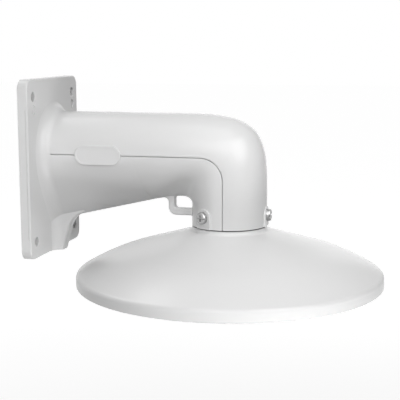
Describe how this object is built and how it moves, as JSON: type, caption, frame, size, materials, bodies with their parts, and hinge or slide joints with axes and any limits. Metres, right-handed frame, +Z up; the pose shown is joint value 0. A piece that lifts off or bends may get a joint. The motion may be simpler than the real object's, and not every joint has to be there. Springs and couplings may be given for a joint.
{
  "type": "camera wall bracket",
  "caption": "Wall bracket for a security camera: a hollow cast arm bends down from a square wall plate to a neck that carries a wide round cap over the camera.",
  "frame": {"origin": "centre of the wall plate's back face, on the wall, midway between the four bolt holes", "axes": "+X out of the wall along the arm, +Z up, Y along the wall; the part is mirror-symmetric across Y"},
  "size_m": [0.3584, 0.3152, 0.2082],
  "materials": {
    "arm_paint": "fine satin powder coat, pale warm grey, on cast aluminium",
    "cap_paint": "smooth satin powder coat, pale warm grey, on cast aluminium",
    "screw_steel": "bare turned stainless steel",
    "seal_rubber": "matt black rubber"
  },
  "bodies": {
    "root": {"bracket_body": "arm_paint", "camera_cap": "cap_paint", "neck_seal": "seal_rubber", "camera_seal": "seal_rubber", "wall_gasket": "seal_rubber", "lock_screw_front": "screw_steel", "lock_screw_left": "screw_steel", "lock_screw_right": "screw_steel"}
  },
  "joints": []
}
